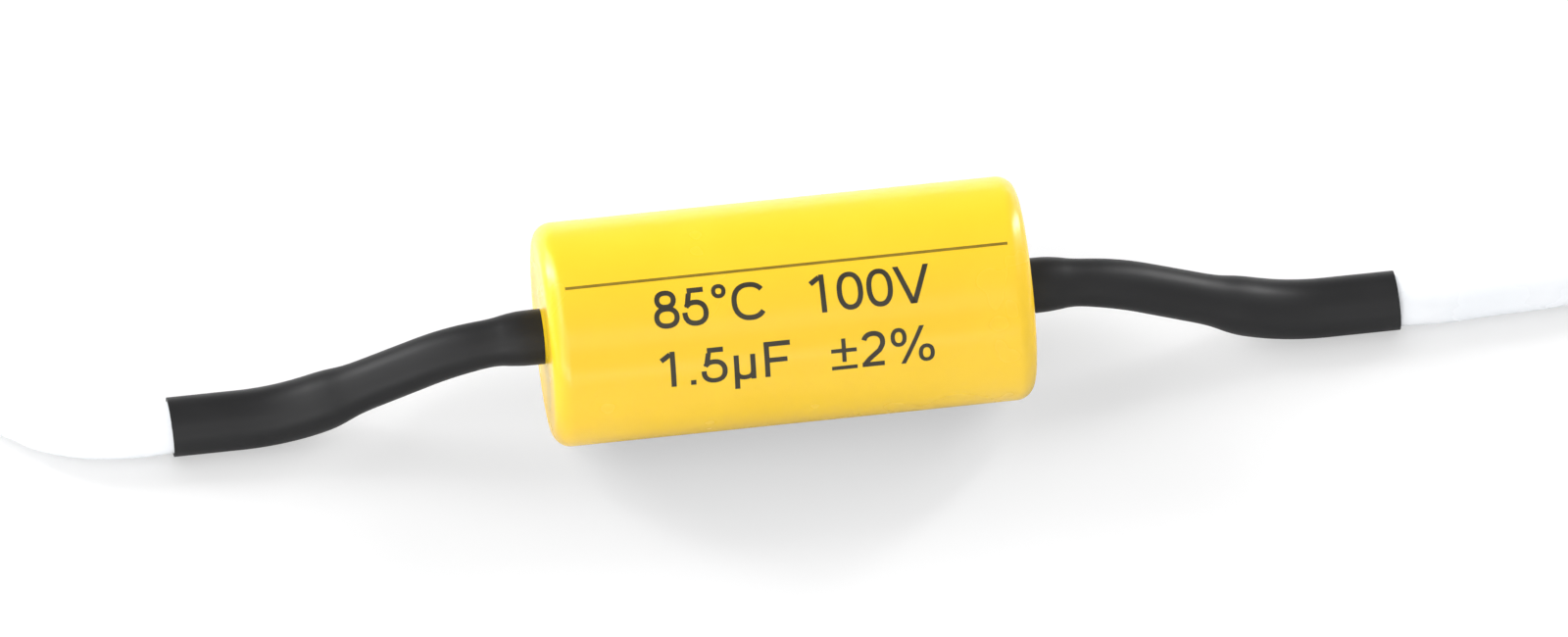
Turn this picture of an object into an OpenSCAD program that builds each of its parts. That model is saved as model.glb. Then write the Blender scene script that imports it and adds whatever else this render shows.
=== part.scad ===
// Axial film capacitor with two sleeved and soldered flying leads.
// The body lies along X with its lowest line on the plane z = 0, and the origin is under its centre.

/* [Body] */
// Diameter of the body over its wrap
body_d = 12; // [10:0.5:16]
// Length of the body from end face to end face
body_l = 25.9; // [20:0.1:40]
// Thickness of the wrap
wrap_t = 0.4; // [0.2:0.05:0.8]
// Radius that rounds the wrap's shoulder at each end
shoulder_r = 1; // [0.9:0.1:2]
// Width of the flat lip that the wrap turns in over each end face
lip_w = 1; // [0.5:0.1:1.5]

/* [Inside the body] */
// Depth of the resin that closes each end
seal_t = 2.2; // [1.8:0.1:4]
// Thickness of the zinc sprayed on each face of the roll
spray_t = 0.6; // [0.3:0.1:1]
// Diameter of the hole that the mandrel leaves in the roll
mandrel_d = 1.2; // [0.8:0.1:2]

/* [Lead and joint] */
// Diameter of the tinned copper lead
lead_d = 0.8; // [0.6:0.05:1]
// Diameter of the flattened head that is welded to the zinc
head_d = 2.6; // [1.6:0.1:4]
// Thickness of that head
head_t = 0.3; // [0.2:0.05:0.6]
// Diameter of the resin collar round the lead's root
collar_d = 2.5; // [1.8:0.1:3]
// Length of that collar, from the end face to where the lead starts to bend
collar_l = 1; // [0.6:0.1:2]
// Where the solder starts, along the lead from the end face
joint_start = 4.2; // [3.5:0.1:5]
// Length of the soldered joint
joint_l = 6.5; // [5.5:0.5:8]
// Diameter of the soldered joint
joint_d = 2.25; // [1.9:0.05:2.6]
// Length of lead that lies inside the joint
lead_lap = 5; // [3:0.5:5]
// Diameter of the twisted strands
strand_d = 1.6; // [1.4:0.05:1.7]
// Length of bare strands between the joint and the insulation
strand_show = 2.3; // [1:0.1:3]

/* [Bend] */
// Slope of the lead between its two bends, in degrees
bend_angle = 24; // [18:0.5:32]
// Radius of the bend down from the body
upper_bend_r = 13.5; // [8:0.5:15]
// Radius of the bend back to level
lower_bend_r = 12; // [8:0.5:14]

/* [Sleeve] */
// Wall of the shrunk sleeve
sleeve_t = 0.17; // [0.1:0.01:0.3]
// Length of sleeve that lies level on the floor, up to its mouth
sleeve_level_l = 3.7; // [2:0.1:8]
// Diameter of the sleeve's narrow neck between collar and joint
neck_d = 2.5; // [2:0.1:2.6]

/* [Wire] */
// Diameter of the wire over its insulation
wire_d = 2.8; // [2.6:0.1:3.2]
// Diameter of the tinned tip
tip_d = 1.2; // [0.8:0.1:1.6]
// Length of the tinned tip
tip_l = 6; // [4:0.5:10]

/* [Hidden] */
$fn = 48;

// Gap between a piece and the one that it is nested in
nest_gap = 0.02;
// Thickness of the solder at the thin edge where it ends
solder_edge = 0.06;
// Sides of the cross-sections of the sleeves, the wires and what the sleeves hide
sleeve_sides = 24;
wire_sides = 8;
hidden_sides = 12;
// Distance between neighbouring rings round a bend, at most
ring_step = 0.65;

// The two ends, as the sign of their direction along X
LEFT = -1;
RIGHT = 1;

// Sizes that follow from those above
axis_z = body_d / 2;
bore_r = body_d / 2 - wrap_t;
lip_r = body_d / 2 - shoulder_r - lip_w;
roll_l = body_l - 2 * (seal_t + spray_t);
lead_r = lead_d / 2;
strand_r = strand_d / 2;
joint_r = joint_d / 2;
sleeve_r = wire_d / 2 + nest_gap + sleeve_t;
bend_drop = axis_z - sleeve_r;

// Distances along a lead, from the end face
bend_start = collar_l;
upper_end = bend_start + upper_bend_r * bend_angle * PI / 180;
slope_l = (bend_drop - (upper_bend_r + lower_bend_r) * (1 - cos(bend_angle))) / sin(bend_angle);
lower_start = upper_end + slope_l;
lower_end = lower_start + lower_bend_r * bend_angle * PI / 180;
sleeve_l = lower_end + sleeve_level_l;
lead_tip = joint_start + lead_lap;
joint_end = joint_start + joint_l;
strand_start = joint_start + joint_r;
wire_start = joint_end + strand_show;

// The lead's centre line from the side: [distance outwards, height above the body's axis]
slope_dir = [cos(bend_angle), -sin(bend_angle)];
slope_up = [sin(bend_angle), cos(bend_angle)];
upper_centre = [bend_start, -upper_bend_r];
slope_top = upper_centre + upper_bend_r * slope_up;
slope_foot = slope_top + slope_l * slope_dir;
lower_centre = slope_foot + lower_bend_r * slope_up;

// The wires beyond the sleeves' mouths: [distance outwards, distance to the back] from the mouth
LEFT_ROUTE = [
  [1.5, 0], [3, 0.15], [4.6, 0.4], [6.5, 1.1], [7.7, 1.95], [8.9, 2.9], [10.2, 4.2], [11.6, 6.3],
  [12.6, 8.8], [13.2, 11.6], [13.5, 14.5], [13.6, 17.5], [13.6, 20.5], [13.6, 23], [13.6, 25.5]
];
RIGHT_ROUTE = [
  [1.5, 0], [3, 0.05], [5.5, 0.2], [8.5, 0.3], [11.5, 0.6], [14.4, 1.5], [17.1, 3.2], [19.3, 5.6],
  [20.8, 8.5], [21.6, 11.5], [22, 14.5], [22.1, 17.5], [22.1, 20.5], [22.1, 23], [22.1, 25.5]
];
// Length of wire that settles from the mouth's height to the floor
settle_l = 3;

function unit(v) = v / norm(v);
function turn(angle) = [cos(angle), sin(angle)];
// Rises smoothly from 0 to 1 as t does
function ease(t) = t <= 0 ? 0 : t >= 1 ? 1 : t * t * (3 - 2 * t);
// Distances from one to another in equal steps, none over ring_step
function stretch(from, to) =
  let (n = ceil((to - from) / ring_step)) [for (i = [0:n]) from + (to - from) * i / n];

// Slope of the lead's centre line at a distance from the end face, in degrees below level
function lead_slope(s) =
  s <= bend_start ? 0
  : s <= upper_end ? (s - bend_start) / upper_bend_r * 180 / PI
  : s <= lower_start ? bend_angle
  : s <= lower_end ? (lower_end - s) / lower_bend_r * 180 / PI
  : 0;

// Point of that line, as [outwards, height above the body's axis]
function lead_point(s) =
  s <= bend_start ? [s, 0]
  : s <= upper_end ? upper_centre + upper_bend_r * turn(90 - lead_slope(s))
  : s <= lower_start ? slope_top + (s - upper_end) * slope_dir
  : s <= lower_end ? lower_centre + lower_bend_r * turn(-90 - lead_slope(s))
  : [lower_centre[0] + s - lower_end, -bend_drop];

// Stations, each [point, direction], along the lead at one end of the part
function lead_stations(end, along) = [
  for (s = along)
    let (p = lead_point(s), way = turn(-lead_slope(s)))
      [[end * (body_l / 2 + p[0]), 0, axis_z + p[1]], [end * way[0], 0, way[1]]]
];

// Stations along points, each facing along the chord between its neighbours
function point_stations(points) = [
  for (i = [0:len(points) - 1])
    [points[i], unit(points[min(i + 1, len(points) - 1)] - points[max(i - 1, 0)])]
];

// Stations of a wire: in the sleeve, then along its route on the floor
function wire_stations(end, route) =
  let (
    in_sleeve = lead_stations(end, stretch(wire_start, sleeve_l)),
    mouth = in_sleeve[len(in_sleeve) - 1][0],
    points = [
      for (p = route)
        mouth + [end * p[0], p[1], (wire_d / 2 - mouth[2]) * ease(p[0] / settle_l)]
    ],
    on_floor = point_stations(concat([mouth], points))
  ) concat(in_sleeve, [for (i = [1:len(points)]) on_floor[i]]);

// Rings of points round stations and square to them, each with its own radius
function rings(stations, radii, sides) = [
  for (i = [0:len(radii) - 1])
    let (
      dir = stations[i][1],
      side = unit(cross([0, 0, 1], dir)),
      up = cross(dir, side)
    )
    for (k = [0:sides - 1])
      stations[i][0] + radii[i] * (cos(360 * k / sides) * side + sin(360 * k / sides) * up)
];

// Four-sided faces between neighbouring rings, facing out of the bar, or into its bore
function walls(first, count, sides, bore) = [
  for (i = [0:1:count - 2], k = [0:sides - 1])
    let (
      a = first + i * sides + k,
      b = first + i * sides + (k + 1) % sides
    )
    bore ? [a, b, b + sides, a + sides] : [a, a + sides, b + sides, b]
];

// Flat face across one ring, and the flat ring between two
function cap(first, sides, ahead) =
  [[for (k = [0:sides - 1]) first + (ahead ? sides - 1 - k : k)]];
function rim(outer, inner, sides, ahead) = [
  for (k = [0:sides - 1])
    let (n = (k + 1) % sides)
      ahead ? [outer + n, outer + k, inner + k, inner + n] : [outer + k, outer + n, inner + n, inner + k]
];

// Bar swept along stations. The bore has one radius for each station that it passes:
// none for a solid bar, fewer than the bar's for a blind bore, as many for a tube.
module swept(stations, radii, bore, sides) {
  inner = len(radii) * sides;
  last = (len(radii) - 1) * sides;
  inner_last = inner + (len(bore) - 1) * sides;
  through = len(bore) == len(radii);
  polyhedron(
    points = concat(rings(stations, radii, sides), len(bore) > 0 ? rings(stations, bore, sides) : []),
    faces = concat(
      walls(0, len(radii), sides, false),
      walls(inner, len(bore), sides, true),
      len(bore) > 0 ? rim(0, inner, sides, false) : cap(0, sides, false),
      through ? rim(last, inner_last, sides, true) : cap(last, sides, true),
      len(bore) > 0 && !through ? cap(inner_last, sides, false) : []
    )
  );
}

// Half section of a bar with rounded ends, for turning about its axis
module rounded_section(r, l, corner) {
  translate([0, -l / 2])
    square([r - corner, l]);
  translate([0, corner - l / 2])
    square([r, l - 2 * corner]);
  for (end = [-1, 1])
    translate([r - corner, end * (l / 2 - corner)])
      circle(corner);
}

// Turns a half section about the body's axis
module turned() {
  translate([0, 0, axis_z])
    rotate([0, 90, 0])
      rotate_extrude()
        children();
}

// The resin, zinc and film that fill the wrap, cut to one stretch of its length
module filling_section(from, to) {
  intersection() {
    union() {
      rounded_section(bore_r - nest_gap, body_l - 2 * (wrap_t + nest_gap), shoulder_r - wrap_t);
      translate([0, -body_l / 2])
        square([lip_r - nest_gap, body_l]);
    }
    translate([0, from])
      square([body_d, to - from]);
  }
}

// Places a piece that is drawn outwards from the end face at one of the two ends
module at_end(end) {
  rotate([0, 0, end == LEFT ? 180 : 0])
    translate([body_l / 2, 0, axis_z])
      children();
}

// A round bar that points outwards, between two distances from the end face
module straight_bar(r, from, to) {
  translate([from, 0, 0])
    rotate([0, 90, 0])
      cylinder(r = r, h = to - from);
}

// Yellow film wound round the roll and turned in over both ends
module outer_wrap() {
  color("gold")
    turned()
      difference() {
        rounded_section(body_d / 2, body_l, shoulder_r);
        rounded_section(bore_r, body_l - 2 * wrap_t, shoulder_r - wrap_t);
        translate([0, -body_l])
          square([lip_r, 2 * body_l]);
      }
}

// The roll of metallised film
module film_winding() {
  color("silver")
    turned()
      difference() {
        filling_section(-roll_l / 2, roll_l / 2);
        translate([0, -roll_l])
          square([mandrel_d / 2, 2 * roll_l]);
      }
}

// Zinc on one face of the roll
module end_spray(end) {
  color("darkgray")
    rotate([0, 0, end == LEFT ? 180 : 0])
      turned()
        filling_section(roll_l / 2, roll_l / 2 + spray_t);
}

// Resin that closes one end, with a collar up the lead
module end_seal(end) {
  color("goldenrod")
    difference() {
      union() {
        rotate([0, 0, end == LEFT ? 180 : 0])
          turned()
            filling_section(roll_l / 2 + spray_t, body_l / 2);
        at_end(end)
          straight_bar(collar_d / 2, -wrap_t, collar_l);
      }
      at_end(end) {
        straight_bar(lead_r + nest_gap, -2 * seal_t, 2 * collar_l);
        straight_bar(head_d / 2 + nest_gap, -2 * seal_t, nest_gap + head_t - seal_t);
      }
    }
}

// Lead with its flattened head on the zinc
module lead(end) {
  along = concat([head_t - seal_t], stretch(bend_start, lead_tip));
  color("lightgray") {
    at_end(end)
      straight_bar(head_d / 2, -seal_t, head_t - seal_t);
    swept(lead_stations(end, along), [for (s = along) lead_r], [], hidden_sides);
  }
}

// Bared strands, laid round the lead and on to the insulation
module wire_strands(end) {
  lapped = stretch(strand_start, lead_tip + nest_gap);
  along = concat(lapped, stretch(lead_tip + 2 * nest_gap, wire_start));
  color("silver")
    swept(
      lead_stations(end, along),
      [for (s = along) strand_r],
      [for (s = lapped) lead_r + nest_gap],
      hidden_sides
    );
}

// Radius of the solder, which swells from a thin edge on the lead and thins again on the strands
function solder_radius(s) =
  let (
    thin_r = solder_edge + (s < strand_start ? lead_r : strand_r),
    swell = ease(min(s - joint_start, joint_end - s) / joint_r)
  )
  thin_r + (joint_r - thin_r) * swell;

// Solder round the lead and its strands
module solder_joint(end) {
  on_lead = stretch(joint_start, strand_start - 2 * nest_gap);
  on_strands = stretch(strand_start - nest_gap, joint_end);
  along = concat(on_lead, on_strands);
  color("gainsboro")
    swept(
      lead_stations(end, along),
      [for (s = along) solder_radius(s)],
      concat([for (s = on_lead) lead_r + nest_gap], [for (s = on_strands) strand_r + nest_gap]),
      hidden_sides
    );
}

// Outer radius of the sleeve, which clings to the collar, the joint and the insulation in turn.
// It narrows a ring's step behind the collar, and is wide again that step before the insulation.
function sleeve_radius(s) =
  let (
    over_collar = collar_d / 2 + nest_gap + sleeve_t,
    over_joint = joint_r + nest_gap + sleeve_t,
    neck_r = neck_d / 2,
    narrow_from = collar_l + ring_step,
    neck_at = (narrow_from + joint_start) / 2,
    wide_at = wire_start - ring_step
  )
  s < neck_at ? over_collar + (neck_r - over_collar) * ease((s - narrow_from) / (neck_at - narrow_from))
  : s < joint_start ? neck_r + (over_joint - neck_r) * ease((s - neck_at) / (joint_start - neck_at))
  : over_joint + (sleeve_r - over_joint) * ease((s - joint_end) / (wide_at - joint_end));

// Black sleeve shrunk over the joint
module sleeve(end) {
  along = stretch(nest_gap, sleeve_l);
  outer = [for (s = along) sleeve_radius(s)];
  color("dimgray")
    swept(lead_stations(end, along), outer, [for (r = outer) r - sleeve_t], sleeve_sides);
}

// White insulated wire
module wire(end, route) {
  stations = wire_stations(end, route);
  color("white")
    swept(stations, [for (p = stations) wire_d / 2], [], wire_sides);
}

// Stripped and tinned end of the wire
module tinned_tip(end, route) {
  stations = wire_stations(end, route);
  from = stations[len(stations) - 1];
  color("lightgray")
    translate(from[0])
      rotate([-90 * sign(from[1][1]), 0, 0])
        cylinder(d = tip_d, h = tip_l);
}

outer_wrap();
film_winding();
end_spray(LEFT);  // end_spray_left
end_spray(RIGHT);  // end_spray_right
end_seal(LEFT);  // end_seal_left
end_seal(RIGHT);  // end_seal_right
lead(LEFT);  // lead_left
lead(RIGHT);  // lead_right
wire_strands(LEFT);  // wire_strands_left
wire_strands(RIGHT);  // wire_strands_right
solder_joint(LEFT);  // solder_joint_left
solder_joint(RIGHT);  // solder_joint_right
sleeve(LEFT);  // sleeve_left
sleeve(RIGHT);  // sleeve_right
wire(LEFT, LEFT_ROUTE);  // wire_left
wire(RIGHT, RIGHT_ROUTE);  // wire_right
tinned_tip(LEFT, LEFT_ROUTE);  // tinned_tip_left
tinned_tip(RIGHT, RIGHT_ROUTE);  // tinned_tip_right
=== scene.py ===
"""Looks of an axial film capacitor with two sleeved and soldered flying leads.

Lengths are in metres. X runs along the body's axis, Y to the back and Z up, and the part lies
on z = 0.
"""

import math

import bmesh
import bpy
import numpy as np
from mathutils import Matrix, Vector


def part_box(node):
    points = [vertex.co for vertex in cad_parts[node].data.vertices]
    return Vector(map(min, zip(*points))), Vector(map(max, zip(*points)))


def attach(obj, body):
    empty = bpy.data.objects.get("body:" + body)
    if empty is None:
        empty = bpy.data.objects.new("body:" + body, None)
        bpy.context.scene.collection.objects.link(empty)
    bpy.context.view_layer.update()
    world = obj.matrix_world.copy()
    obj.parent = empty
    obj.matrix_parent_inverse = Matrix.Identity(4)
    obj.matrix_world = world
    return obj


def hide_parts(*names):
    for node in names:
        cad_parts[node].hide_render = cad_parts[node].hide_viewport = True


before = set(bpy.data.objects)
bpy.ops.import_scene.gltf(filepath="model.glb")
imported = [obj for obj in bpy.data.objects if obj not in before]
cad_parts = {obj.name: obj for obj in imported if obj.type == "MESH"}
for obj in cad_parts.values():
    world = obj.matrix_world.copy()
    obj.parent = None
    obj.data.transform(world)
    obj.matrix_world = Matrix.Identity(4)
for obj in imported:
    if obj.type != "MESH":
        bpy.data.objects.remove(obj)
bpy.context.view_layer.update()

MM = 0.001
# Each side and its direction along X
SIDES = {"left": -1, "right": 1}

# ---------------------------------------------------------------- sizes

# The body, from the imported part
wrap_low, wrap_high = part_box("outer_wrap")
BODY_R = (wrap_high.y - wrap_low.y) / 2
BODY_END = wrap_high.x
AXIS_Z = BODY_R

# The wrap's shoulders, its wall, and the opening that its turned-in lips leave
SHOULDER_R = 1 * MM
WRAP_T = 0.4 * MM
LIP_R = 4 * MM

# The end resin: its depth, the bore for the lead, and the dish in its face. The dish is half a
# wave to a power, which steepens its edges
SEAL_T = 2.2 * MM
BORE_R = 0.42 * MM
DISH = 0.06 * MM
DISH_POWER = 0.7
# The face creeps up the collar: its height there, and the distance over which that fades
CREEP_H = 0.25 * MM
CREEP_FADE = 0.1 * MM

# The lead's two bends, and the collar round it
COLLAR_L = 1 * MM
COLLAR_R = 1.25 * MM
BEND_ANGLE = math.radians(24)
UPPER_BEND_R = 13.5 * MM
LOWER_BEND_R = 12 * MM
WIRE_START = 13 * MM

# The sleeve and the wire
NEST_GAP = 0.02 * MM
SLEEVE_T = 0.17 * MM
SLEEVE_LEVEL_L = 3.7 * MM
WIRE_R = 1.4 * MM
WIRE_EDGE = 0.12 * MM
SLEEVE_R = WIRE_R + NEST_GAP + SLEEVE_T

# The tinned tip: its radius, its strands and their twist, how far out the tin fills between two
# strands, how far it starts inside the insulation, and the length and share of its rounded end
TIP_R = 0.6 * MM
OUTER_STRANDS = 6
TWIST_L = 9 * MM
TIN_FILL = 0.93
TIP_TUCK = 1 * MM
TIP_EDGE = 0.25 * MM
TIP_END_R = 0.7

# Places along the lead's line: the upper bend's end, the lower bend's start and end, the mouth
BEND_DROP = AXIS_Z - SLEEVE_R
UPPER_END = COLLAR_L + UPPER_BEND_R * BEND_ANGLE
SLOPE_DROP = BEND_DROP - (UPPER_BEND_R + LOWER_BEND_R) * (1 - math.cos(BEND_ANGLE))
LOWER_START = UPPER_END + SLOPE_DROP / math.sin(BEND_ANGLE)
LOWER_END = LOWER_START + LOWER_BEND_R * BEND_ANGLE
SLEEVE_L = LOWER_END + SLEEVE_LEVEL_L

# The wires beyond the sleeves' mouths: distance outwards and to the back from the mouth, in mm
ROUTES = {
    "left": [
        (1.5, 0), (3, 0.15), (4.6, 0.4), (6.5, 1.1), (7.7, 1.95), (8.9, 2.9), (10.2, 4.2),
        (11.6, 6.3), (12.6, 8.8), (13.2, 11.6), (13.5, 14.5), (13.6, 17.5), (13.6, 20.5),
        (13.6, 23), (13.6, 25.5),
    ],
    "right": [
        (1.5, 0), (3, 0.05), (5.5, 0.2), (8.5, 0.3), (11.5, 0.6), (14.4, 1.5), (17.1, 3.2),
        (19.3, 5.6), (20.8, 8.5), (21.6, 11.5), (22, 14.5), (22.1, 17.5), (22.1, 20.5),
        (22.1, 23), (22.1, 25.5),
    ],
}
SETTLE_L = 3 * MM


# ---------------------------------------------------------------- curves and meshes

# Points at which the lead's line is added up. Places between them are interpolated
LINE_POINTS = 4001
# Faces that meet at more than this many degrees get a sharp edge, unless a piece says otherwise
CREASE = 50


def ease(t):
    """Rises smoothly from 0 to 1 as t does: three t squared less two t cubed."""
    t = np.clip(t, 0, 1)
    return t * t * (3 - 2 * t)


def unit(vectors):
    """Each vector divided by its own length."""
    return vectors / np.linalg.norm(vectors, axis=-1, keepdims=True)


def lead_line(end, s):
    """The lead's centre line at distances s from the end face.

    Its slope rises to BEND_ANGLE over the upper bend, holds, and falls to level over the lower
    bend. A point is the running sum of that slope's cosine outwards and of its sine downwards.
    """
    fine = np.linspace(0, SLEEVE_L, LINE_POINTS)
    bends = [COLLAR_L, UPPER_END, LOWER_START, LOWER_END]
    slope = np.interp(fine, bends, [0, BEND_ANGLE, BEND_ANGLE, 0])
    step = fine[1]
    middle = (slope[1:] + slope[:-1]) / 2
    out = np.concatenate([[0], np.cumsum(np.cos(middle)) * step])
    down = np.concatenate([[0], np.cumsum(np.sin(middle)) * step])
    x = end * (BODY_END + np.interp(s, fine, out))
    z = AXIS_Z - np.interp(s, fine, down)
    return np.stack([x, np.zeros_like(x), z], axis=-1)


def through(points, per_span):
    """A smooth curve through points: on each span a Catmull-Rom cubic of the four nearest."""
    points = np.asarray(points, float)
    ends = [2 * points[0] - points[1], *points, 2 * points[-1] - points[-2]]
    p = np.array(ends)
    t = np.linspace(0, 1, per_span, endpoint=False)[None, :, None]
    p0, p1, p2, p3 = (p[i : len(p) - 3 + i, None, :] for i in range(4))
    curve = 0.5 * (
        2 * p1 + (p2 - p0) * t + (2 * p0 - 5 * p1 + 4 * p2 - p3) * t**2
        + (3 * p1 - p0 - 3 * p2 + p3) * t**3
    )
    return np.concatenate([curve.reshape(-1, 3), points[-1:]])


def evenly(points, step):
    """The same curve with points at equal distances along it, and those distances."""
    gone = np.concatenate([[0], np.cumsum(np.linalg.norm(np.diff(points, axis=0), axis=1))])
    along = np.linspace(0, gone[-1], int(gone[-1] / step) + 2)
    return np.stack([np.interp(along, gone, column) for column in points.T], axis=-1), along


def tube_frame(centre):
    """Directions to the side and up at each point of a centre line, square to its tangent."""
    tangent = unit(np.gradient(centre, axis=0))
    side = unit(np.cross([0, 0, 1], tangent))
    return tangent, side, np.cross(tangent, side)


def swept(centre, radius, turns):
    """Points round a centre line, for a radius that is a grid of stations by turns.

    At each station they lie the radius times the turn's cosine to the side and times its sine up.
    """
    _, side, up = tube_frame(centre)
    ring = np.cos(turns)[None, :, None] * side[:, None] + np.sin(turns)[None, :, None] * up[:, None]
    return centre[:, None] + radius[:, :, None] * ring


def straightened(along, radius, turns):
    """The same surface as if its centre line were straight, for patterns that follow the piece."""
    far = np.broadcast_to(along[:, None], radius.shape)
    return np.stack([far, radius * np.cos(turns), radius * np.sin(turns)], axis=-1)


def lathed(x, r, turns):
    """A profile of places x along the body's axis and radii r, turned about that axis."""
    r = np.broadcast_to(r[:, None], (len(x), len(turns)))
    far = np.broadcast_to(x[:, None], r.shape)
    return np.stack([far, -r * np.cos(turns), AXIS_Z + r * np.sin(turns)], axis=-1)


def circle(count):
    """Equal turns once round, without the last that would meet the first."""
    return np.linspace(0, 2 * np.pi, count, endpoint=False)


def grid_faces(rows, turns, closed=False, first=0):
    """Faces over a grid of points, rows by turns: each turn joins the next and the last the first.

    With closed the last row joins the first too. Otherwise a flat face closes each end.
    """
    index = first + np.arange(rows * turns).reshape(rows, turns)
    rings = np.vstack([index, index[:1]]) if closed else index
    a, b = rings[:-1], rings[1:]
    quads = np.stack([a, b, np.roll(b, -1, 1), np.roll(a, -1, 1)], axis=-1).reshape(-1, 4)
    return quads.tolist() + ([] if closed else [index[0].tolist(), index[-1][::-1].tolist()])


def mesh_piece(name, points, faces, crease=CREASE):
    """A smooth mesh, with sharp edges where faces meet at more than crease degrees."""
    mesh = bpy.data.meshes.new(name)
    mesh.from_pydata(points.reshape(-1, 3), [], faces)
    mesh.shade_smooth()
    mesh.set_sharp_from_angle(angle=math.radians(crease))
    return linked(name, mesh)


def grid_piece(name, points, flat=None, closed=False, flip=False, crease=CREASE):
    """A mesh over one grid. flat holds its straightened points, kept as the attribute "straight".

    flip turns the faces round.
    """
    faces = grid_faces(*points.shape[:2], closed)
    piece = mesh_piece(name, points, [face[::-1] for face in faces] if flip else faces, crease)
    if flat is not None:
        kept = piece.data.attributes.new("straight", "FLOAT_VECTOR", "POINT")
        kept.data.foreach_set("vector", flat.astype(np.float32).ravel())
    return piece


def linked(name, data):
    """An object that holds the data, in the scene."""
    piece = bpy.data.objects.new(name, data)
    bpy.context.scene.collection.objects.link(piece)
    return piece


# ---------------------------------------------------------------- camera

# The camera looks from the front and above, from far away, so that lines stay nearly parallel
VIEW_ELEVATION = math.radians(50.69)
VIEW_YAW = math.radians(7.62)
VIEW_DISTANCE = 1.5
VIEW_WIDTH = 83.57 * MM
VIEW_OFFSET = (0.04 * MM, -0.38 * MM)
SENSOR_W = 36


def make_camera():
    """A camera turned VIEW_YAW about Z and raised VIEW_ELEVATION, aimed near the body's middle."""
    sin_e, cos_e = math.sin(VIEW_ELEVATION), math.cos(VIEW_ELEVATION)
    sin_y, cos_y = math.sin(VIEW_YAW), math.cos(VIEW_YAW)
    right = Vector((cos_y, -sin_y, 0))
    up = Vector((sin_y * sin_e, cos_y * sin_e, cos_e))
    ahead = Vector((sin_y * cos_e, cos_y * cos_e, -sin_e))
    aim = Vector((0, 0, AXIS_Z)) + VIEW_OFFSET[0] * right + VIEW_OFFSET[1] * up
    data = bpy.data.cameras.new("camera")
    data.sensor_width = SENSOR_W
    data.lens = SENSOR_W * VIEW_DISTANCE / VIEW_WIDTH
    data.clip_start, data.clip_end = 0.1, 10
    camera = linked("camera", data)
    camera.location = aim - VIEW_DISTANCE * ahead
    camera.rotation_euler = ahead.to_track_quat("-Z", "Y").to_euler()
    bpy.context.scene.camera = camera


# ---------------------------------------------------------------- shader helpers

def new_material(name):
    """A material that holds only a Principled shader, with its nodes and its links."""
    material = bpy.data.materials.new(name)
    material.use_nodes = True
    return material, material.node_tree.nodes, material.node_tree.links


def set_sockets(node, **values):
    """Sets a node's inputs, with an underscore standing for a space in their names."""
    for key, value in values.items():
        node.inputs[key.replace("_", " ")].default_value = value
    return node


def rgb(red, green, blue):
    """A colour written as 0 to 255 on screen, in the linear values that shaders take."""
    c = np.array([red, green, blue]) / 255
    c = np.where(c <= 0.04045, c / 12.92, ((c + 0.055) / 1.055) ** 2.4)
    return (*map(float, c), 1)


def node_group(name, inputs, outputs):
    """A shader node group with the named sockets, each a (name, kind, default)."""
    group = bpy.data.node_groups.new(name, "ShaderNodeTree")
    for label, kind, default in inputs:
        socket = group.interface.new_socket(label, in_out="INPUT", socket_type="NodeSocket" + kind)
        if default is not None:
            socket.default_value = default
    for label, kind in outputs:
        group.interface.new_socket(label, in_out="OUTPUT", socket_type="NodeSocket" + kind)
    nodes = group.nodes
    return group, nodes, group.links, nodes.new("NodeGroupInput"), nodes.new("NodeGroupOutput")


def make_grain_group():
    """Grain: noise at one scale, with finer noise over it. Puts out a height about 0.5.

    Stretch multiplies the place along X first.
    """
    group, nodes, links, given, made = node_group(
        "grain",
        [("Vector", "Vector", None), ("Scale", "Float", 1000.0), ("Stretch", "Float", 1.0)],
        [("Height", "Float")],
    )
    shrink = nodes.new("ShaderNodeCombineXYZ")
    shrink.inputs["Y"].default_value = 1
    shrink.inputs["Z"].default_value = 1
    squeezed = nodes.new("ShaderNodeVectorMath")
    squeezed.operation = "MULTIPLY"
    noise = set_sockets(nodes.new("ShaderNodeTexNoise"), Detail=4.0, Roughness=0.55)
    links.new(given.outputs["Stretch"], shrink.inputs["X"])
    links.new(given.outputs["Vector"], squeezed.inputs[0])
    links.new(shrink.outputs["Vector"], squeezed.inputs[1])
    links.new(squeezed.outputs["Vector"], noise.inputs["Vector"])
    links.new(given.outputs["Scale"], noise.inputs["Scale"])
    links.new(noise.outputs["Fac"], made.inputs["Height"])
    return group


def make_mottle_group():
    """Mottle: one colour drifting to another and back in soft clouds.

    The mask rises smoothly from 0 to 1 as the noise goes from Low to High, and mixes the two.
    """
    group, nodes, links, given, made = node_group(
        "mottle",
        [("Vector", "Vector", None), ("Scale", "Float", 200.0), ("Colour", "Color", None),
         ("Drift", "Color", None), ("Low", "Float", 0.35), ("High", "Float", 0.7)],
        [("Colour", "Color"), ("Mask", "Float")],
    )
    noise = set_sockets(nodes.new("ShaderNodeTexNoise"), Detail=3.0, Roughness=0.5)
    spread = nodes.new("ShaderNodeMapRange")
    spread.interpolation_type = "SMOOTHSTEP"
    mix = nodes.new("ShaderNodeMix")
    mix.data_type = "RGBA"
    links.new(given.outputs["Vector"], noise.inputs["Vector"])
    links.new(given.outputs["Scale"], noise.inputs["Scale"])
    links.new(noise.outputs["Fac"], spread.inputs["Value"])
    links.new(given.outputs["Low"], spread.inputs["From Min"])
    links.new(given.outputs["High"], spread.inputs["From Max"])
    links.new(spread.outputs["Result"], mix.inputs["Factor"])
    links.new(given.outputs["Colour"], mix.inputs["A"])
    links.new(given.outputs["Drift"], mix.inputs["B"])
    links.new(mix.outputs["Result"], made.inputs["Colour"])
    links.new(spread.outputs["Result"], made.inputs["Mask"])
    return group


GRAIN = make_grain_group()
MOTTLE = make_mottle_group()


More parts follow.
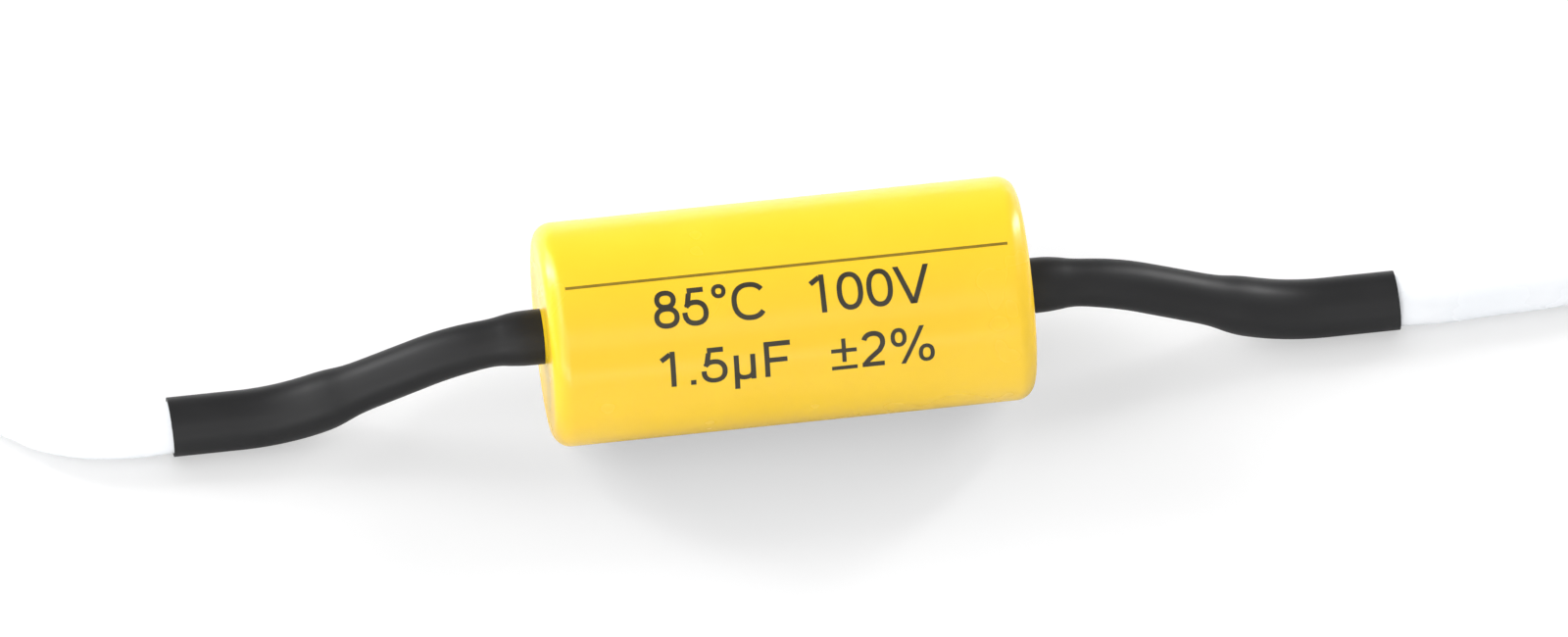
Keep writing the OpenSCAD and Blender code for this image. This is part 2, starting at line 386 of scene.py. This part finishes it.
def surface_vector(nodes, attribute):
    """Where a pattern lies: the piece's straightened points, or its own object coordinates."""
    if attribute:
        source = nodes.new("ShaderNodeAttribute")
        source.attribute_name = attribute
        return source.outputs["Vector"]
    return nodes.new("ShaderNodeTexCoord").outputs["Object"]


def finish_material(name, colour, drift, mottle_scale, grain_scale, rise, rough,
                    attribute=None, stretch=1.0, **shader):
    """A material whose colour and roughness drift in soft clouds, with fine grain in its height.

    rise is the grain's height in metres, rough the roughness where the clouds are thinnest and
    thickest, and stretch below 1 draws the grain out along X. attribute names the points that
    the pattern follows, and shader holds the Principled shader's own sockets.
    """
    material, nodes, links = new_material(name)
    principled = set_sockets(nodes["Principled BSDF"], **shader)
    vector = surface_vector(nodes, attribute)
    mottle = nodes.new("ShaderNodeGroup")
    mottle.node_tree = MOTTLE
    set_sockets(mottle, Scale=mottle_scale, Colour=colour, Drift=drift)
    grain = nodes.new("ShaderNodeGroup")
    grain.node_tree = GRAIN
    set_sockets(grain, Scale=grain_scale, Stretch=stretch)
    roughness = set_sockets(nodes.new("ShaderNodeMapRange"), To_Min=rough[0], To_Max=rough[1])
    raised = set_sockets(nodes.new("ShaderNodeBump"), Strength=1.0, Distance=rise)
    links.new(vector, mottle.inputs["Vector"])
    links.new(vector, grain.inputs["Vector"])
    links.new(mottle.outputs["Colour"], principled.inputs["Base Color"])
    links.new(mottle.outputs["Mask"], roughness.inputs["Value"])
    links.new(roughness.outputs["Result"], principled.inputs["Roughness"])
    links.new(grain.outputs["Height"], raised.inputs["Height"])
    links.new(raised.outputs["Normal"], principled.inputs["Normal"])
    return material


# ---------------------------------------------------------------- materials

BODY_FILM = finish_material(
    "body_film", rgb(250, 204, 31), rgb(252, 207, 37), mottle_scale=160.0, grain_scale=2500.0,
    rise=0.0006 * MM, rough=(0.24, 0.28), stretch=0.25, IOR=1.55,
)
END_RESIN = finish_material(
    "end_resin", rgb(250, 209, 26), rgb(246, 203, 30), mottle_scale=500.0, grain_scale=900.0,
    rise=0.004 * MM, rough=(0.2, 0.28), IOR=1.52,
)
SLEEVE_BLACK = finish_material(
    "sleeve_black", rgb(10, 10, 12), rgb(14, 14, 16), mottle_scale=300.0, grain_scale=5000.0,
    rise=0.001 * MM, rough=(0.43, 0.49), attribute="straight", stretch=0.5, IOR=1.4,
)
INSULATION_WHITE = finish_material(
    "insulation_white", rgb(250, 252, 255), rgb(247, 250, 254), mottle_scale=250.0,
    grain_scale=3500.0, rise=0.001 * MM, rough=(0.22, 0.3), attribute="straight", stretch=0.08,
    IOR=1.48,
)
TINNED_COPPER = finish_material(
    "tinned_copper", rgb(214, 213, 208), rgb(196, 190, 180), mottle_scale=900.0,
    grain_scale=6000.0, rise=0.002 * MM, rough=(0.24, 0.42), Metallic=1.0,
)
SOLDER = finish_material(
    "solder", rgb(206, 208, 210), rgb(178, 180, 183), mottle_scale=700.0, grain_scale=3000.0,
    rise=0.006 * MM, rough=(0.18, 0.38), Metallic=1.0,
)
METALLISED_FILM = finish_material(
    "metallised_film", rgb(196, 199, 204), rgb(178, 181, 187), mottle_scale=400.0,
    grain_scale=9000.0, rise=0.001 * MM, rough=(0.2, 0.32), stretch=0.02, Metallic=1.0,
)
ZINC = finish_material(
    "zinc", rgb(158, 160, 162), rgb(132, 134, 138), mottle_scale=1500.0, grain_scale=5000.0,
    rise=0.03 * MM, rough=(0.55, 0.75), Metallic=1.0,
)
MARKING_INK = finish_material(
    "marking_ink", rgb(41, 37, 22), rgb(50, 46, 28), mottle_scale=1200.0, grain_scale=6000.0,
    rise=0.001 * MM, rough=(0.35, 0.5), IOR=1.45,
)
LINE_INK = finish_material(
    "line_ink", rgb(130, 108, 12), rgb(142, 119, 16), mottle_scale=1200.0, grain_scale=6000.0,
    rise=0.001 * MM, rough=(0.3, 0.45), IOR=1.45,
)

# The inner pieces stay as they are packed. Each finish covers the nodes whose names start so
INNER_FINISHES = {
    "film_winding": METALLISED_FILM, "end_spray": ZINC, "lead": TINNED_COPPER,
    "wire_strands": TINNED_COPPER, "solder_joint": SOLDER,
}


def dress(piece, material):
    """Gives a piece one material."""
    piece.data.materials.clear()
    piece.data.materials.append(material)


def dress_inner_pieces():
    """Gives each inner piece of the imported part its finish."""
    for start, material in INNER_FINISHES.items():
        for name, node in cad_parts.items():
            if name.startswith(start):
                dress(node, material)


# ---------------------------------------------------------------- wires and tips

WIRE_STEP = 0.3 * MM
WIRE_TURNS = 48
# Points of the wire's line that lie in the sleeve, and points on each span between two of them
TUCKED_POINTS = 14
SPAN_POINTS = 8
TIP_STATIONS = 110
TIP_TURNS = 84


def wire_line(side):
    """Centre line of a wire: the lead's line inside the sleeve, then its route.

    Beyond the mouth it settles onto the floor over SETTLE_L.
    """
    end = SIDES[side]
    in_sleeve = lead_line(end, np.linspace(WIRE_START, SLEEVE_L, TUCKED_POINTS))
    mouth = in_sleeve[-1]
    route = np.array(ROUTES[side]) * MM
    drop = (WIRE_R - mouth[2]) * ease(route[:, 0] / SETTLE_L)
    beyond = mouth + np.stack([end * route[:, 0], route[:, 1], drop], axis=-1)
    return through(np.concatenate([in_sleeve, beyond]), SPAN_POINTS)


def make_wire(side):
    """A round bar along the wire's line, with a quarter round of WIRE_EDGE at both cut ends."""
    centre, along = evenly(wire_line(side), WIRE_STEP)
    turns = circle(WIRE_TURNS)
    to_end = np.clip(np.minimum(along, along[-1] - along) / WIRE_EDGE, 0, 1)
    rounded = WIRE_R - WIRE_EDGE * (1 - np.sqrt(1 - (1 - to_end) ** 2))
    radius = np.broadcast_to(rounded[:, None], (len(along), len(turns)))
    piece = grid_piece(
        "wire_insulation_" + side, swept(centre, radius, turns), straightened(along, radius, turns),
    )
    dress(piece, INSULATION_WHITE)
    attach(piece, "root")
    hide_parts("wire_" + side)


def make_tip(side):
    """Six strands twisted round a seventh, and tinned together.

    At each turn the radius is the far side of the nearest strand's circle, or the tin between
    two strands if that is higher. The strands turn once in TWIST_L, and the cut end is rounded.
    """
    node = "tinned_tip_" + side
    low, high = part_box(node)
    start = np.array([(low.x + high.x) / 2, low.y - TIP_TUCK, (low.z + high.z) / 2])
    length = high.y - start[1]
    s = np.linspace(0, length, TIP_STATIONS)
    turns = circle(TIP_TURNS)
    strand_r = TIP_R / 3
    share = 2 * np.pi / OUTER_STRANDS
    off = (turns[None, :] - 2 * np.pi * s[:, None] / TWIST_L) % share - share / 2
    inside = np.maximum(strand_r**2 - (2 * strand_r * np.sin(off)) ** 2, 0)
    bead = 2 * strand_r * np.cos(off) + np.sqrt(inside)
    to_end = np.clip((length - s) / TIP_EDGE, 0, 1)[:, None]
    rounded = TIP_END_R + (1 - TIP_END_R) * np.sqrt(1 - (1 - to_end) ** 2)
    radius = np.maximum(bead, TIN_FILL * TIP_R) * rounded
    centre = start + s[:, None] * np.array([0, 1, 0])
    piece = grid_piece(
        "tinned_strands_" + side, swept(centre, radius, turns), straightened(s, radius, turns),
    )
    dress(piece, TINNED_COPPER)
    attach(piece, "root")
    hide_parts(node)


# ---------------------------------------------------------------- sleeves

# Outer radius at distances from the body's face, in mm: over the collar, the neck, the joint
# and the wire
SLEEVE_SHAPE = [
    (-1, 1.487), (0, 1.487), (0.8, 1.48), (1.3, 1.458), (1.9, 1.39), (2.4, 1.312), (2.9, 1.28),
    (3.5, 1.287), (4.2, 1.308), (5.4, 1.328), (7.2, 1.34), (9, 1.346), (10.1, 1.354),
    (10.75, 1.384), (11.25, 1.444), (11.8, 1.525), (12.4, 1.58), (13, 1.597), (14, 1.602),
    (18, 1.602), (22, 1.602),
]
# How far each mouth is cut past its length, and how far it slants to each side of that, in mm
SLEEVE_MOUTHS = {"left": (0.01, 0.06), "right": (0.125, -0.042)}
# The slant is largest in this direction round the tube: shares up and to the back
SLANT_UP, SLANT_BACK = 0.63, 0.77
MOUTH_STRETCH = 3 * MM
SLEEVE_STATIONS = 220
SLEEVE_TURNS = 80
SHAPE_SPAN_POINTS = 12


def sleeve_radius(s):
    """The sleeve's outer radius along it: a smooth curve through its shape's places."""
    shape = through([(x, r, 0) for x, r in SLEEVE_SHAPE], SHAPE_SPAN_POINTS) * MM
    return np.interp(s, shape[:, 0], shape[:, 1])


def make_sleeve(side):
    """A tube along the lead's line: its outer wall from root to mouth, then its bore back again.

    The last MOUTH_STRETCH eases out along the line to the mouth's cut, further where the slant
    points and less opposite it.
    """
    s = np.linspace(NEST_GAP, SLEEVE_L, SLEEVE_STATIONS)
    turns = circle(SLEEVE_TURNS)
    outer = np.broadcast_to(sleeve_radius(s)[:, None], (len(s), len(turns)))
    inner = outer - SLEEVE_T
    centre = lead_line(SIDES[side], s)
    past, slant = SLEEVE_MOUTHS[side]
    slanting = SLANT_UP * np.sin(turns) + SIDES[side] * SLANT_BACK * np.cos(turns)
    near_mouth = ease((s - SLEEVE_L) / MOUTH_STRETCH + 1)[:, None]
    reach = near_mouth * (past + slant * slanting) * MM
    shift = reach[:, :, None] * tube_frame(centre)[0][:, None]
    both = np.concatenate([
        swept(centre, outer, turns) + shift, (swept(centre, inner, turns) + shift)[::-1],
    ])
    flat = np.concatenate([straightened(s, outer, turns), straightened(s, inner, turns)[::-1]])
    piece = grid_piece("shrunk_sleeve_" + side, both, flat, closed=True)
    dress(piece, SLEEVE_BLACK)
    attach(piece, "root")
    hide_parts("sleeve_" + side)


# ---------------------------------------------------------------- body

WRAP_TURNS = 256
QUARTER_POINTS = 17
FACE_POINTS = 6
BARREL_POINTS = 61
RESIN_TURNS = 128
RESIN_FACE_POINTS = 30


def make_wrap():
    """The wrap's section turned about the axis.

    It runs along one lip, a quarter round for the shoulder, the barrel, the other shoulder and
    lip, and back inside, where the quarter rounds are smaller by the wall.
    """
    quarter = np.linspace(0, np.pi / 2, QUARTER_POINTS)
    flat_r = BODY_R - SHOULDER_R
    shoulder_x = -BODY_END + SHOULDER_R - SHOULDER_R * np.cos(quarter)
    shoulder_r = flat_r + SHOULDER_R * np.sin(quarter)
    face_r = np.linspace(LIP_R, flat_r, FACE_POINTS)[:-1]
    half_x = np.concatenate([np.full(len(face_r), -BODY_END), shoulder_x])
    half_r = np.concatenate([face_r, shoulder_r])
    barrel_end = BODY_END - SHOULDER_R
    barrel_x = np.linspace(-barrel_end, barrel_end, BARREL_POINTS)[1:-1]
    outer_x = np.concatenate([half_x, barrel_x, -half_x[::-1]])
    outer_r = np.concatenate([half_r, np.full(len(barrel_x), BODY_R), half_r[::-1]])
    bore_x = BODY_END - WRAP_T
    corner = SHOULDER_R - WRAP_T
    in_x = np.concatenate([[bore_x], bore_x - corner + corner * np.cos(quarter)])
    in_r = np.concatenate([[LIP_R], BODY_R - WRAP_T - corner + corner * np.sin(quarter)])
    x = np.concatenate([outer_x, in_x, -in_x[::-1]])
    r = np.concatenate([outer_r, in_r, in_r[::-1]])
    piece = grid_piece("wrapped_body", lathed(x, r, circle(WRAP_TURNS)), closed=True)
    dress(piece, BODY_FILM)
    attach(piece, "root")
    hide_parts("outer_wrap")
    # Diffuse rays pass it, so that its colour doesn't tint the floor. Its shadow stays
    piece.visible_diffuse = False


def make_end_resin(side):
    """The resin plug turned about the axis: its back, its rim, its face, the collar and the bore.

    The face dishes by half a sine wave, to a power, from the collar to the rim. It creeps up the
    collar by a height that fades as the exponential of the distance.
    """
    rim = LIP_R - NEST_GAP
    r = np.linspace(COLLAR_R, rim, RESIN_FACE_POINTS)
    out = r - COLLAR_R
    dish = DISH * np.sin(np.pi * (out / out[-1])) ** DISH_POWER
    face = BODY_END - dish + CREEP_H * np.exp(-out / CREEP_FADE)
    back = BODY_END - SEAL_T
    top = BODY_END + COLLAR_L
    x = np.concatenate([[back, back, BODY_END - DISH], face[::-1], [top, top]])
    radius = np.concatenate([[BORE_R, rim, rim], r[::-1], [COLLAR_R, BORE_R]])
    end = SIDES[side]
    points = lathed(end * x, radius, circle(RESIN_TURNS))
    piece = grid_piece("end_resin_" + side, points, closed=True, flip=end < 0)
    dress(piece, END_RESIN)
    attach(piece, "root")
    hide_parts("end_seal_" + side)
    piece.visible_diffuse = False


# ---------------------------------------------------------------- marking

# Places round the barrel, as angles above the horizontal on the front
LINE_AT = math.radians(74.3)
ROW_ONE_AT = math.radians(58)
ROW_TWO_AT = math.radians(26.4)
LINE_FROM, LINE_TO = -11.9 * MM, 11.8 * MM
LINE_HALF_W = 0.08 * MM
LINE_STATIONS = 40
INK_T = 0.008 * MM
INK_CREASE = 30
CAP_HEIGHT = 2.05 * MM

# Each word: its piece's name, its signs, where it starts along the barrel in mm, and its row
WORDS = [
    ("marking_temperature", "85°C", -7.5, ROW_ONE_AT),
    ("marking_voltage", "100V", 0.75, ROW_ONE_AT),
    ("marking_value", "1.5µF", -7.55, ROW_TWO_AT),
    ("marking_tolerance", "±2%", 1.75, ROW_TWO_AT),
]

# Signs are drawn in heights of a capital, with their strokes this wide
STROKE = 0.134
THIN = 0.11
DOT = 0.14
STROKE_STEP = 0.06
LOOP_POINTS = 61
LOOP_POWER = 0.88


def oval(x, y, half_w, half_h, start=0, turn=360):
    """Points of a round loop, or part of one, from start through turn degrees.

    The cosine and sine are each raised to a power a little under 1, which squares the loop
    slightly.
    """
    angle = np.radians(start + np.linspace(0, turn, LOOP_POINTS))
    c, s = (np.sign(v) * np.abs(v) ** LOOP_POWER for v in (np.cos(angle), np.sin(angle)))
    return np.stack([x + half_w * c, y + half_h * s], axis=-1)


def line(*points):
    """A line through the points given."""
    return np.array(points, float)


def stroke(points, width=STROKE, level=False):
    """The two edges of a stroke: half its width to each side of a line, at even steps along it.

    With level the edges part sideways only, so that a slanting stroke has level ends.
    """
    middle, _ = evenly(points, STROKE_STEP)
    ahead = unit(np.gradient(middle, axis=0))
    loop = np.allclose(points[0], points[-1])
    if loop:
        ahead[0] = ahead[-1] = unit(ahead[0] + ahead[-1])
    across = np.stack([-ahead[:, 1], ahead[:, 0]], axis=-1)
    if level:
        across = np.stack([-1 / ahead[:, 1], np.zeros(len(ahead))], axis=-1)
    edges = middle[:, None] + across[:, None] * np.array([-width / 2, width / 2])[None, :, None]
    return (edges[:-1], True) if loop else (edges, False)


# Half a stroke, and the middle of a stroke that touches a capital's top
H = STROKE / 2
TOP = 1 - H
DIGIT_ROOM = 0.777
# Each sign: its strokes and the room that it takes along the row
SIGNS = {
    "0": ([stroke(oval(0.39, 0.5, 0.275, TOP - 0.5))], DIGIT_ROOM),
    "1": ([
        stroke(line((0.46, 0), (0.46, 1))),
        stroke(line((0.16, 0.77), (0.4, 0.93))),
    ], DIGIT_ROOM),
    "2": ([
        stroke(np.concatenate([
            oval(0.37, 0.7, 0.245, TOP - 0.7, 165, -190),
            line((0.52, 0.46), (0.26, 0.24), (0.14, 0.1)),
        ])),
        stroke(line((0.06, H), (0.64, H))),
    ], DIGIT_ROOM),
    "5": ([
        stroke(line((0.2, TOP), (0.62, TOP))),
        stroke(line((0.235, TOP - H), (0.165, 0.5)), level=True),
        stroke(oval(0.365, 0.34, 0.275, 0.34 - H, 146, -330)),
    ], DIGIT_ROOM),
    "8": ([
        stroke(oval(0.39, 0.745, 0.215, TOP - 0.745)),
        stroke(oval(0.39, 0.29, 0.265, 0.29 - H)),
    ], DIGIT_ROOM),
    ".": ([stroke(line((0.195, 0), (0.195, DOT)), DOT)], 0.388),
    "F": ([
        stroke(line((0.18, 0), (0.18, 1))),
        stroke(line((0.18 + H, TOP), (0.8, TOP))),
        stroke(line((0.18 + H, 0.49), (0.71, 0.49))),
    ], 0.853),
    "V": ([
        stroke(line((0.065, 1), (0.455, 0)), level=True),
        stroke(line((0.865, 1), (0.475, 0)), level=True),
    ], 0.93),
    "C": ([stroke(oval(0.52, 0.5, 0.405, TOP - 0.5, 38, 284))], 1.0),
    "°": ([stroke(oval(0.24, 0.84, 0.135, 0.135), THIN)], 0.5),
    "µ": ([
        stroke(line((0.17, -0.28), (0.17, 0.72))),
        stroke(line((0.6, 0), (0.6, 0.72))),
        stroke(oval(0.385, 0.26, 0.215, 0.26 - H, 185, 170)),
    ], 0.79),
    "±": ([
        stroke(line((0.05, 0.55), (0.72, 0.55)), THIN),
        stroke(line((0.385, 0.6), (0.385, 0.88)), THIN),
        stroke(line((0.385, 0.22), (0.385, 0.5)), THIN),
        stroke(line((0.05, 0.05), (0.72, 0.05)), THIN),
    ], 0.79),
    "%": ([
        stroke(oval(0.26, 0.75, 0.155, 0.205), THIN),
        stroke(oval(0.97, 0.25, 0.155, 0.205), THIN),
        stroke(line((0.35, -0.02), (0.88, 1.02)), THIN, level=True),
    ], 1.23),
}


def round_barrel(x, up, out, middle):
    """Bends a flat print round the barrel: up becomes an angle above the middle, out a radius."""
    angle = middle + up / BODY_R
    r = BODY_R + out
    return np.stack([x, -r * np.cos(angle), AXIS_Z + r * np.sin(angle)], axis=-1)


def printed(edges, left, middle):
    """A stroke as a thin bar on the barrel.

    Across it lie the low and high points of one edge, then the high and low ones of the other.
    """
    x = left + edges[:, [0, 0, 1, 1], 0] * CAP_HEIGHT
    up = (edges[:, [0, 0, 1, 1], 1] - 0.5) * CAP_HEIGHT
    out = np.broadcast_to(np.array([0, INK_T, INK_T, 0]), x.shape)
    return round_barrel(x, up, out, middle)


def make_word(name, word, left, middle):
    """A word's signs side by side from the place left, as one thin piece on the barrel."""
    points, faces, count, at = [], [], 0, left
    for sign in word:
        strokes, room = SIGNS[sign]
        for edges, loop in strokes:
            bar = printed(edges, at, middle)
            points.append(bar.reshape(-1, 3))
            faces += grid_faces(len(bar), 4, loop, count)
            count += 4 * len(bar)
        at += room * CAP_HEIGHT
    piece = mesh_piece(name, np.concatenate(points), faces, crease=INK_CREASE)
    solid = bmesh.new()
    solid.from_mesh(piece.data)
    bmesh.ops.recalc_face_normals(solid, faces=solid.faces[:])
    solid.to_mesh(piece.data)
    solid.free()
    dress(piece, MARKING_INK)
    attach(piece, "root")


def make_line():
    """The thin line along the barrel: a flat bar bent round it."""
    x = np.linspace(LINE_FROM, LINE_TO, LINE_STATIONS)
    w = LINE_HALF_W
    far, up = np.broadcast_arrays(x[:, None], np.array([-w, -w, w, w]))
    out = np.broadcast_to(np.array([0, INK_T, INK_T, 0]), far.shape)
    points = round_barrel(far, up, out, LINE_AT)
    piece = grid_piece("barrel_line", points, flip=True, crease=INK_CREASE)
    dress(piece, LINE_INK)
    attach(piece, "root")


# ---------------------------------------------------------------- floor, light, world

FLOOR_SIZE = 3
FLOOR_GLOW = 0.45
FLOOR_SEEN = rgb(188, 188, 188)
FLOOR_PAPER = rgb(240, 240, 240)
FLOOR_ROUGH = 0.9

WORLD_FILL = 0.39
# In reflections the world fades from the front to the back: places along Y, and strengths there
FRONT_Y, FRONT_STRENGTH = -0.7, 1.1
BACK_Y, BACK_STRENGTH = 0.6, 0.5

# Each lamp: azimuth from the back towards +X and elevation in degrees, width and height, radiance
LAMP_DISTANCE = 0.5
LAMPS = {
    "strip_left": (-55, 23, 0.08, 0.41, 15),
    "strip_left_inner": (-42, 25, 0.10, 0.42, 3.2),
    "strip_right": (54, 25, 0.07, 0.41, 17),
    "strip_right_outer": (68, 26, 0.10, 0.42, 1.5),
    "high_left": (-84, 55, 0.42, 0.18, 2.25),
    "high_right": (88, 54, 0.40, 0.18, 0.8),
    "window_left": (-116, 38, 0.30, 0.34, 0.9),
    "window_low": (-143, 8, 0.50, 0.16, 2.4),
    "window_high": (-146, 38, 0.40, 0.30, 0.9),
    "front_high": (-179, 42, 0.20, 0.14, 0.7),
    "front_band": (-170, 3, 0.40, 0.10, 1.4),
}


def make_floor():
    """A white floor that keeps the part's shadow.

    What the camera sees of it is part glow and part lit surface. In reflections, and where light
    bounces off it, it is plain white paper.
    """
    material, nodes, links = new_material("floor")
    principled = set_sockets(nodes["Principled BSDF"], Roughness=FLOOR_ROUGH)
    principled.inputs["Specular IOR Level"].default_value = 0
    seen = nodes.new("ShaderNodeLightPath").outputs["Is Camera Ray"]
    glow = nodes.new("ShaderNodeMath")
    glow.operation = "MULTIPLY"
    glow.inputs[1].default_value = FLOOR_GLOW
    shade = nodes.new("ShaderNodeMix")
    shade.data_type = "RGBA"
    set_sockets(shade, A=FLOOR_PAPER, B=FLOOR_SEEN)
    principled.inputs["Emission Color"].default_value = (1, 1, 1, 1)
    links.new(seen, glow.inputs[0])
    links.new(seen, shade.inputs["Factor"])
    links.new(shade.outputs["Result"], principled.inputs["Base Color"])
    links.new(glow.outputs["Value"], principled.inputs["Emission Strength"])
    half = FLOOR_SIZE / 2
    mesh = bpy.data.meshes.new("floor")
    corners = [(-half, -half, 0), (half, -half, 0), (half, half, 0), (-half, half, 0)]
    mesh.from_pydata(corners, [], [(0, 1, 2, 3)])
    mesh.materials.append(material)
    linked("floor", mesh)


def seen_ray(nodes, links):
    """1 for what the camera sees, directly, in gloss or through glass."""
    path = nodes.new("ShaderNodeLightPath")
    first, second = nodes.new("ShaderNodeMath"), nodes.new("ShaderNodeMath")
    first.operation = second.operation = "MAXIMUM"
    links.new(path.outputs["Is Camera Ray"], first.inputs[0])
    links.new(path.outputs["Is Glossy Ray"], first.inputs[1])
    links.new(first.outputs["Value"], second.inputs[0])
    links.new(path.outputs["Is Transmission Ray"], second.inputs[1])
    return second.outputs["Value"]


def make_world():
    """White to the camera, greyer in reflections towards the back, weaker where it fills shadows.

    A reflected strength goes in a straight line from the front's to the back's along Y.
    """
    world = bpy.data.worlds.new("studio")
    bpy.context.scene.world = world
    world.use_nodes = True
    nodes, links = world.node_tree.nodes, world.node_tree.links
    way = nodes.new("ShaderNodeSeparateXYZ")
    path = nodes.new("ShaderNodeLightPath")
    gloss = set_sockets(
        nodes.new("ShaderNodeMapRange"), From_Min=FRONT_Y, From_Max=BACK_Y, To_Min=FRONT_STRENGTH,
        To_Max=BACK_STRENGTH,
    )
    seen, strength = nodes.new("ShaderNodeMapRange"), nodes.new("ShaderNodeMapRange")
    seen.inputs["To Min"].default_value = 1
    strength.inputs["To Min"].default_value = WORLD_FILL
    nodes["Background"].inputs["Color"].default_value = (1, 1, 1, 1)
    links.new(nodes.new("ShaderNodeTexCoord").outputs["Generated"], way.inputs["Vector"])
    links.new(way.outputs["Y"], gloss.inputs["Value"])
    links.new(gloss.outputs["Result"], seen.inputs["To Max"])
    links.new(path.outputs["Is Glossy Ray"], seen.inputs["Value"])
    links.new(seen.outputs["Result"], strength.inputs["To Max"])
    links.new(seen_ray(nodes, links), strength.inputs["Value"])
    links.new(strength.outputs["Result"], nodes["Background"].inputs["Strength"])


def make_lamp(name, azimuth, elevation, width, height, radiance):
    """A soft rectangular lamp that faces the part.

    Its power is pi times its radiance times its area.
    """
    azimuth, elevation = math.radians(azimuth), math.radians(elevation)
    way = Vector((
        math.sin(azimuth) * math.cos(elevation), math.cos(azimuth) * math.cos(elevation),
        math.sin(elevation),
    ))
    data = bpy.data.lights.new(name, "AREA")
    data.shape = "RECTANGLE"
    data.size, data.size_y = width, height
    data.energy = math.pi * radiance * width * height
    lamp = linked(name, data)
    lamp.location = way * LAMP_DISTANCE
    lamp.rotation_euler = (-way).to_track_quat("-Z", "Y").to_euler()
    lamp.visible_camera = False


# ---------------------------------------------------------------- the scene

make_camera()
for side in SIDES:
    make_tip(side)
    make_wire(side)
for side in SIDES:
    make_sleeve(side)
make_wrap()
for side in SIDES:
    make_end_resin(side)
dress_inner_pieces()
make_line()
for name, word, left, row in WORDS:
    make_word(name, word, left * MM, row)
make_floor()
make_world()
for name, values in LAMPS.items():
    make_lamp(name, *values)

bpy.context.scene.view_settings.view_transform = "Standard"
